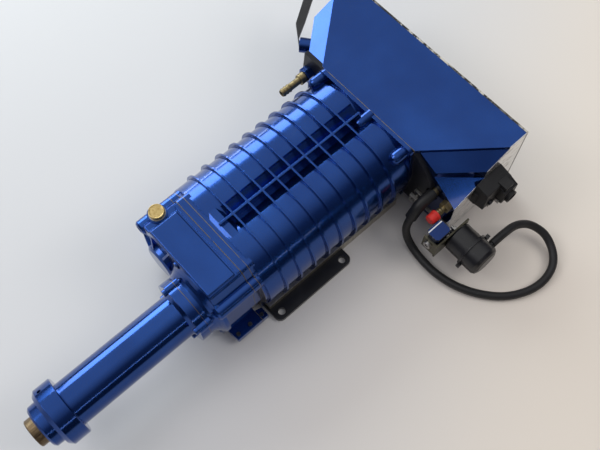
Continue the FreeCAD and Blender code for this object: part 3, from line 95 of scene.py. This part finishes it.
class Finish:  # one material and its nodes
    def __init__(self, name):
        self.material = bpy.data.materials.new(name)
        self.material.use_nodes = True
        self.tree = self.material.node_tree
        self.tree.nodes.clear()

    def make(self, kind, settings=None, values=None, out=0):
        node = self.tree.nodes.new("ShaderNode" + kind)
        for key, value in (settings or {}).items():
            setattr(node, key, value)
        for key, value in (values or {}).items():
            if isinstance(value, Wire):
                self.tree.links.new(value.socket, node.inputs[key])
            else:
                node.inputs[key].default_value = value
        return Wire(self, node.outputs[out]) if len(node.outputs) else None

    def mixed(self, share, dark, light):
        first, second = [colour if isinstance(colour, Wire) else (*colour, 1.0)
                         for colour in (dark, light)]
        return self.make("Mix", {"data_type": "RGBA"}, {0: share, 6: first, 7: second}, out=2)

    def spot(self, stretch=(1, 1, 1)):  # the point on the piece, in metres, stretched per axis
        place = self.make("TexCoord", out=3)
        return self.make("Mapping", None, {"Vector": place, "Scale": stretch})

    def axis(self, which):
        place = self.make("TexCoord", out=3)
        return self.make("SeparateXYZ", None, {0: place}, out=which)

    def noise(self, scale, detail=3.0, rough=0.55, stretch=(1, 1, 1)):
        values = {"Vector": self.spot(stretch), "Scale": scale, "Detail": detail,
                  "Roughness": rough}
        return self.make("TexNoise", None, values)

    def cells(self, scale):
        return self.make("TexVoronoi", None, {"Vector": self.spot(), "Scale": scale})

    def soften(self, radius):  # a rounded normal where faces meet
        return self.make("Bevel", {"samples": 6}, {"Radius": radius})

    def edges(self, radius):  # 1 on sharp outer and inner edges
        bent = self.soften(radius)
        flat = self.make("NewGeometry", out=1)
        likeness = self.make("VectorMath", {"operation": "DOT_PRODUCT"}, {0: bent, 1: flat}, out=1)
        return (1.0 - likeness).ramp(0.03, 0.22)

    def bump(self, height, strength, distance, normal=None):
        values = {"Height": height, "Strength": strength, "Distance": distance}
        if normal is not None:
            values["Normal"] = normal
        return self.make("Bump", None, values)

    def surface(self, **sockets):
        names = {"base": "Base Color", "rough": "Roughness", "metal": "Metallic",
                 "normal": "Normal", "coat": "Coat Weight", "coatRough": "Coat Roughness",
                 "specular": "Specular IOR Level"}
        values = {names[key]: value for key, value in sockets.items()}
        shader = self.make("BsdfPrincipled", None, values)
        self.make("OutputMaterial", None, {"Surface": shader})
        return self.material


# Candy-blue paint over cast or machined metal, with bare metal where two castings are faced off,
# and painted shade low down on the plenum.
# The darkest blue and the last two heights below are painted shade, darkening the plenum low down.
paint = {"deep": (0.008, 0.048, 0.23), "lit": (0.028, 0.128, 0.52), "dust": (0.10, 0.14, 0.26),
         "bare": (0.20, 0.17, 0.12), "paintedShade": (0.004, 0.010, 0.060),
         "faceClean": (0.80, 0.80, 0.80), "faceStained": (0.24, 0.22, 0.20),
         "metal": 0.92, "rough": 0.215, "coat": 0.36, "coatRough": 0.035,
         "cloudScale": 14.0, "fleckScale": 2600.0, "dustScale": 60.0, "wearScale": 90.0,
         "castScale": 120.0, "edge": 0.0007, "corner": 0.0005, "grainDepth": 0.00012,
         "seamHalf": 0.00034, "faceHalf": 0.0006, "shadeLow": 0.058, "shadeHigh": 0.092}

# Where the castings meet along the length, and the plenum's end on the snout's side.
seam = {"coverFront": -0.162, "coverBack": -0.108, "caseFront": -0.100, "caseBack": 0.1065}
plenumEnd = -0.1314


def candyBlue(name, grain, grainScale, seams=(), sheen=0.0, faced=None, pocketShade=False):
    finish = Finish(name)
    cloud = finish.noise(paint["cloudScale"], 2.0)
    fleck = finish.noise(paint["fleckScale"], 1.0)
    # Painted highlight: edges are lightened towards the lit blue; the cloud and fleck noise give
    # random paint tone.
    edge = finish.edges(paint["edge"])
    tone = (cloud * 0.55 + fleck * 0.25 + edge * 0.30).ramp(0.25, 0.95)
    colour = tone.between(paint["deep"], paint["lit"])
    dust = finish.noise(paint["dustScale"], 5.0, 0.7).ramp(0.60, 0.80) * 0.10
    colour = dust.between(colour, paint["dust"])
    rough = cloud * 0.10 + fleck * 0.06 + (paint["rough"] - sheen - 0.08)
    if seams:
        line = None
        for place in seams:
            near = abs(finish.axis(0) - seam[place]) < paint["seamHalf"]
            line = near if line is None else (line + near).held()
        worn = line * finish.noise(paint["wearScale"], 3.0).ramp(0.30, 0.46)
        colour = worn.between(colour, paint["bare"])
        rough = rough + worn * 0.25
    if pocketShade:  # painted shade: the colour is darkened low down in the lower front corners, where shade falls
        low = 1.0 - finish.axis(2).ramp(paint["shadeLow"], paint["shadeHigh"])
        colour = (low * 0.62).between(colour, paint["paintedShade"])
    if faced is not None:  # a machined end face at this sideways place, left unpainted
        end = abs(finish.axis(1) - faced) < paint["faceHalf"]
        stain = finish.noise(1.0, 4.0, 0.65, (90.0, 90.0, 240.0)).ramp(0.50, 0.72)
        colour = end.between(colour, stain.between(paint["faceClean"], paint["faceStained"]))
        rough = rough + end * 0.16
    height = finish.noise(grainScale, 3.0, 0.6) + finish.noise(paint["castScale"], 2.0) * 0.4
    normal = finish.bump(height, grain, paint["grainDepth"], finish.soften(paint["corner"]))
    return finish.surface(base=colour, rough=rough, metal=paint["metal"], coat=paint["coat"],
                          coatRough=paint["coatRough"], normal=normal)


# Unpainted metal: drawn or turned lines, patches of tone, grime and brighter edges.
metal = {"weight": 0.95, "patchScale": 35.0, "grimeScale": 80.0, "edge": 0.0006, "corner": 0.0005,
         "lineDepth": 0.00008, "grimeDark": 0.45, "edgeBright": 1.35}


def bareMetal(name, base, dark, rough=0.34, streak=(900.0, 40.0, 40.0), grime=0.5):
    finish = Finish(name)
    lines = finish.noise(1.0, 3.0, 0.6, streak)
    patch = finish.noise(metal["patchScale"], 4.0, 0.65)
    colour = (lines * 0.5 + patch * 0.5).ramp(0.30, 0.72).between(dark, base)
    stain = finish.noise(metal["grimeScale"], 5.0, 0.7).ramp(0.55, 0.78) * grime
    colour = stain.between(colour, tuple(value * metal["grimeDark"] for value in dark))
    bright = tuple(min(1.0, value * metal["edgeBright"]) for value in base)
    colour = (finish.edges(metal["edge"]) * 0.35).between(colour, bright)
    normal = finish.bump(lines, 0.18, metal["lineDepth"], finish.soften(metal["corner"]))
    return finish.surface(base=colour, rough=lines * 0.16 + stain * 0.22 + rough - 0.06,
                          metal=metal["weight"], normal=normal)


# Moulded plastic, rubber and satin black paint: fine cells, haze, worn edges and scratches.
mould = {"hazeScale": 45.0, "scratchStretch": (70.0, 900.0, 300.0), "edge": 0.0007,
         "corner": 0.0006, "grainDepth": 0.0001}


def moulded(name, base, worn, rough=0.46, grain=0.3, scale=1500.0, specular=0.5):
    finish = Finish(name)
    grains = finish.cells(scale)
    haze = finish.noise(mould["hazeScale"], 4.0, 0.6)
    edge = finish.edges(mould["edge"])
    colour = (haze.ramp(0.40, 0.80) * 0.5 + edge * 0.4).held().between(base, worn)
    scratch = finish.noise(1.0, 2.0, 0.6, mould["scratchStretch"]).ramp(0.66, 0.74) * 0.35
    colour = scratch.between(colour, tuple(value * 1.8 + 0.01 for value in worn))
    normal = finish.bump(grains, grain, mould["grainDepth"], finish.soften(mould["corner"]))
    return finish.surface(base=colour, rough=haze * 0.14 + rough - 0.05, metal=0.0, normal=normal,
                          specular=specular)


# The inlet mouth's black gasket, with remains of pale sealant.
sealant = {"rubber": (0.012, 0.012, 0.014), "pale": (0.62, 0.58, 0.50), "depth": 0.0004,
           "blotchStretch": (160.0, 95.0, 120.0), "runStretch": (20.0, 22.0, 20.0)}


def gasketFinish():
    finish = Finish("mouthGasketFinish")
    blotch = finish.noise(1.0, 5.0, 0.72, sealant["blotchStretch"]).ramp(0.47, 0.53)
    along = finish.noise(1.0, 2.0, 0.5, sealant["runStretch"]).ramp(0.38, 0.62)
    mask = blotch * along
    colour = mask.between(sealant["rubber"], sealant["pale"])
    normal = finish.bump(mask + finish.noise(700.0) * 0.3, 0.5, sealant["depth"])
    return finish.surface(base=colour, rough=mask * 0.25 + 0.55, metal=0.0, normal=normal)


castBlue = candyBlue("castBlue", 0.30, 900.0)
caseBlue = candyBlue("caseBlue", 0.30, 900.0, seams=("caseFront", "caseBack"))
plateBlue = candyBlue("plateBlue", 0.22, 900.0, seams=("coverBack", "caseFront"))
coverBlue = candyBlue("coverBlue", 0.26, 900.0, seams=("coverBack", "coverFront"))
tubeBlue = candyBlue("tubeBlue", 0.05, 500.0, seams=("coverFront",), sheen=0.06)
# The plenum's blue gets painted shade low down.
sheetBlue = candyBlue("sheetBlue", 0.06, 700.0, seams=("caseBack",), sheen=0.10,
                      faced=plenumEnd, pocketShade=True)
flangeMetal = bareMetal("flangeMetal", (0.60, 0.57, 0.50), (0.30, 0.27, 0.21), 0.42)
steel = bareMetal("steel", (0.55, 0.54, 0.52), (0.26, 0.25, 0.24), 0.30, (60.0, 700.0, 700.0))
boltSteel = bareMetal("boltSteel", (0.10, 0.10, 0.11), (0.03, 0.03, 0.035), 0.36)
zinc = bareMetal("olivezinc", (0.17, 0.16, 0.11), (0.05, 0.047, 0.035), 0.38,
                 (200.0, 40.0, 400.0), 0.6)
brass = bareMetal("brass", (0.72, 0.55, 0.25), (0.42, 0.29, 0.10), 0.26,
                  (300.0, 300.0, 300.0), 0.35)
agedBrass = bareMetal("agedBrass", (0.38, 0.31, 0.17), (0.15, 0.11, 0.05), 0.40,
                      (300.0, 80.0, 80.0), 0.7)
bronze = bareMetal("bronze", (0.30, 0.22, 0.13), (0.09, 0.06, 0.035), 0.34,
                   (60.0, 900.0, 900.0), 0.6)
rotorMetal = bareMetal("rotorMetal", (0.50, 0.50, 0.50), (0.25, 0.25, 0.25), 0.40)
blackPlastic = moulded("blackPlastic", (0.010, 0.010, 0.011), (0.030, 0.030, 0.032))
blackPaint = moulded("blackPaint", (0.008, 0.008, 0.010), (0.022, 0.022, 0.026), 0.30, 0.15,
                     2400.0)
darkPlate = moulded("darkPlate", (0.005, 0.006, 0.010), (0.014, 0.016, 0.022), 0.40, 0.2,
                    1800.0, 0.35)
hoseRubber = moulded("hoseRubber", (0.010, 0.010, 0.011), (0.028, 0.028, 0.030), 0.48, 0.25,
                     2600.0)
redPlastic = moulded("redPlastic", (0.62, 0.020, 0.016), (0.80, 0.07, 0.05), 0.40, 0.15, 1800.0)
gasket = gasketFinish()

finishes = {
    castBlue: ("nose_retainer", "side_barb_nut", "cover_screws", "flange_screws"),
    caseBlue: ("rotor_case",), plateBlue: ("bearing_plate",), coverBlue: ("gear_cover",),
    tubeBlue: ("snout_housing",), sheetBlue: ("inlet_plenum",), gasket: ("mouth_gasket",),
    flangeMetal: ("outlet_flange",), brass: ("oil_fill_plug", "butterfly_disc", "valve_bush"),
    agedBrass: ("side_barb", "capped_barb", "elbow_barb"), bronze: ("drive_sleeve",),
    boltSteel: ("cover_foot_screws", "foot_bracket_screws", "lever_nut", "butterfly_screws",
                "sensor_screw"),
    zinc: ("actuator_bracket",), rotorMetal: ("drive_rotor", "driven_rotor"),
    blackPaint: ("foot_bracket", "actuator_front_shell", "actuator_rear_shell", "rear_strut"),
    darkPlate: ("adapter_plate",), blackPlastic: ("pressure_sensor", "isolator_disc"),
    hoseRubber: ("rubber_elbow", "rotor_shaft_seals"), redPlastic: ("red_vacuum_cap",),
}
finishOf = {name: finish for finish, names in finishes.items() for name in names}
for name, piece in nodes.items():
    piece.data.materials.clear()
    piece.data.materials.append(finishOf.get(name, steel))  # the small fittings are plain steel
print("finishes set")


# The free vacuum hose, as it lies from the elbow round to the canister.
hose = {"radius": 0.0045, "length": 0.3584, "route": [
    (0.08350, -0.1030, 0.05227), (0.07398, -0.1030, 0.03705), (0.0705, -0.1065, 0.0197),
    (0.0690, -0.1190, 0.0070), (0.0670, -0.1370, 0.0047), (0.0665, -0.1580, 0.0047),
    (0.0715, -0.1820, 0.0047), (0.0840, -0.2070, 0.0047), (0.1060, -0.2310, 0.0047),
    (0.1400, -0.2450, 0.0047), (0.1720, -0.2385, 0.0060), (0.1870, -0.2130, 0.0120),
    (0.1790, -0.1920, 0.0230), (0.1620, -0.1825, 0.0330), (0.1420, -0.1810, 0.0388),
    (0.1220, -0.1810, 0.0390)]}


def vacuumHose():
    curve = bpy.data.curves.new("vacuumHose", "CURVE")
    curve.dimensions = "3D"
    curve.bevel_depth = hose["radius"]
    curve.bevel_resolution = 8
    curve.resolution_u = 10
    curve.use_fill_caps = True
    line = curve.splines.new("NURBS")
    line.points.add(len(hose["route"]) - 1)
    for point, place in zip(line.points, hose["route"]):
        point.co = (*place, 1.0)
    line.order_u = 3
    line.use_endpoint_u = True
    piece = bpy.data.objects.new("vacuumHose", curve)
    bpy.context.scene.collection.objects.link(piece)
    curve.materials.append(hoseRubber)
    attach(piece, "housing")
    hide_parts("vacuum_hose")


vacuumHose()
print("hose laid")


# Floor, lights, camera and the room's light.
# The floor's second colour is painted warm light towards the lower right.
studio = {"floor": (0.70, 0.70, 0.71), "paintedWarmLight": (0.84, 0.76, 0.67), "floorHalf": 6.0,
          "windowLean": 0.42, "skyPower": 0.85,
          "sky": [(0.0, (0.045, 0.04, 0.05)), (0.98, (0.84, 0.86, 0.95)),
                  (0.5, (0.16, 0.16, 0.20))]}

view = {"place": (-0.2498, -0.2902, 0.8373), "right": (0.7422, -0.6702, 0.0),
        "back": (-0.2704, -0.2994, 0.9150), "lens": 49.08, "sensor": 36.0, "near": 0.01}

lamps = {
    "windowLight": {"place": (0.30, 1.70, 0.85), "aim": (0.0, 0.0, 0.05), "size": (1.5, 0.9),
                    "power": 24.0, "colour": (0.87, 0.97, 1.0)},
    "windowGlint": {"place": (0.27, 1.50, 0.14), "aim": (0.0, 0.0, 0.08), "size": (0.42, 0.11),
                    "power": 1.3, "colour": (0.95, 1.0, 1.0)},
    "ceilingLight": {"place": (-1.3, 1.1, 1.7), "aim": (0.0, 0.0, 0.0), "size": (0.9, 0.9),
                     "power": 9.0, "colour": (1.0, 0.98, 1.0)},
    "cornerLight": {"place": (1.3, -1.3, 1.8), "aim": (0.25, -0.2, 0.0), "size": (1.1, 1.1),
                    "power": 14.0, "colour": (1.0, 0.96, 0.92)},
    "sideLight": {"place": (-0.3, -1.7, 0.9), "aim": (0.0, 0.0, 0.05), "size": (1.8, 0.06),
                  "power": 1.2, "colour": (1.0, 0.97, 0.93)},
}
unseenLamps = ("cornerLight",)  # lights the floor but does not show in glossy faces


def floor():
    finish = Finish("floorFinish")
    # Painted warm light: the floor is coloured warmer and brighter towards the lower right.
    across = finish.axis(0) * 0.45 - finish.axis(1) * 0.85
    paintedWarmLight = (across + finish.noise(1.5, 2.0) * 0.10).ramp(0.02, 0.42)
    colour = paintedWarmLight.between(studio["floor"], studio["paintedWarmLight"])
    finish.surface(base=colour, rough=finish.noise(3.0, 2.0) * 0.05 + 0.55, metal=0.0)
    mesh = bpy.data.meshes.new("floor")
    grid = bmesh.new()
    bmesh.ops.create_grid(grid, x_segments=1, y_segments=1, size=studio["floorHalf"])
    grid.to_mesh(mesh)
    grid.free()
    mesh.materials.append(finish.material)
    piece = bpy.data.objects.new("floor", mesh)
    bpy.context.scene.collection.objects.link(piece)


def lamp(name, place, aim, size, power, colour):
    light = bpy.data.lights.new(name, "AREA")
    light.shape = "RECTANGLE"
    light.size, light.size_y = size
    light.energy = power
    light.color = colour
    piece = bpy.data.objects.new(name, light)
    piece.location = place
    piece.visible_glossy = name not in unseenLamps
    piece.rotation_euler = (Vector(aim) - Vector(place)).to_track_quat("-Z", "Y").to_euler()
    bpy.context.scene.collection.objects.link(piece)


def camera():
    lens = bpy.data.cameras.new("camera")
    lens.lens = view["lens"]
    lens.sensor_width = view["sensor"]
    lens.clip_start = view["near"]
    piece = bpy.data.objects.new("camera", lens)
    right = Vector(view["right"]).normalized()
    back = Vector(view["back"]).normalized()
    up = back.cross(right).normalized()
    turn = Matrix((right, up, back)).transposed()
    piece.matrix_world = Matrix.Translation(view["place"]) @ turn.to_4x4()
    bpy.context.scene.collection.objects.link(piece)
    bpy.context.scene.camera = piece


def world():  # a room that is bright overhead and towards the window, darker near the viewer
    space = bpy.data.worlds.new("room")
    space.use_nodes = True
    tree = space.node_tree
    back = tree.nodes["Background"]
    place = tree.nodes.new("ShaderNodeTexCoord")
    split = tree.nodes.new("ShaderNodeSeparateXYZ")
    tree.links.new(place.outputs["Generated"], split.inputs[0])
    lift = tree.nodes.new("ShaderNodeMath")
    lift.operation = "MULTIPLY_ADD"
    tree.links.new(split.outputs[1], lift.inputs[0])
    lift.inputs[1].default_value = studio["windowLean"]
    tree.links.new(split.outputs[2], lift.inputs[2])
    ramp = tree.nodes.new("ShaderNodeValToRGB")
    tree.links.new(lift.outputs[0], ramp.inputs[0])
    stops = ramp.color_ramp.elements
    places = [stops[0], stops[1], stops.new(0.5)]
    for stop, (position, colour) in zip(places, studio["sky"]):
        stop.position = position
        stop.color = (*colour, 1.0)
    tree.links.new(ramp.outputs[0], back.inputs["Color"])
    back.inputs["Strength"].default_value = studio["skyPower"]
    bpy.context.scene.world = space


floor()
for name, settings in lamps.items():
    lamp(name, **settings)
camera()
world()
bpy.context.scene.view_settings.view_transform = "Standard"
print("studio set")
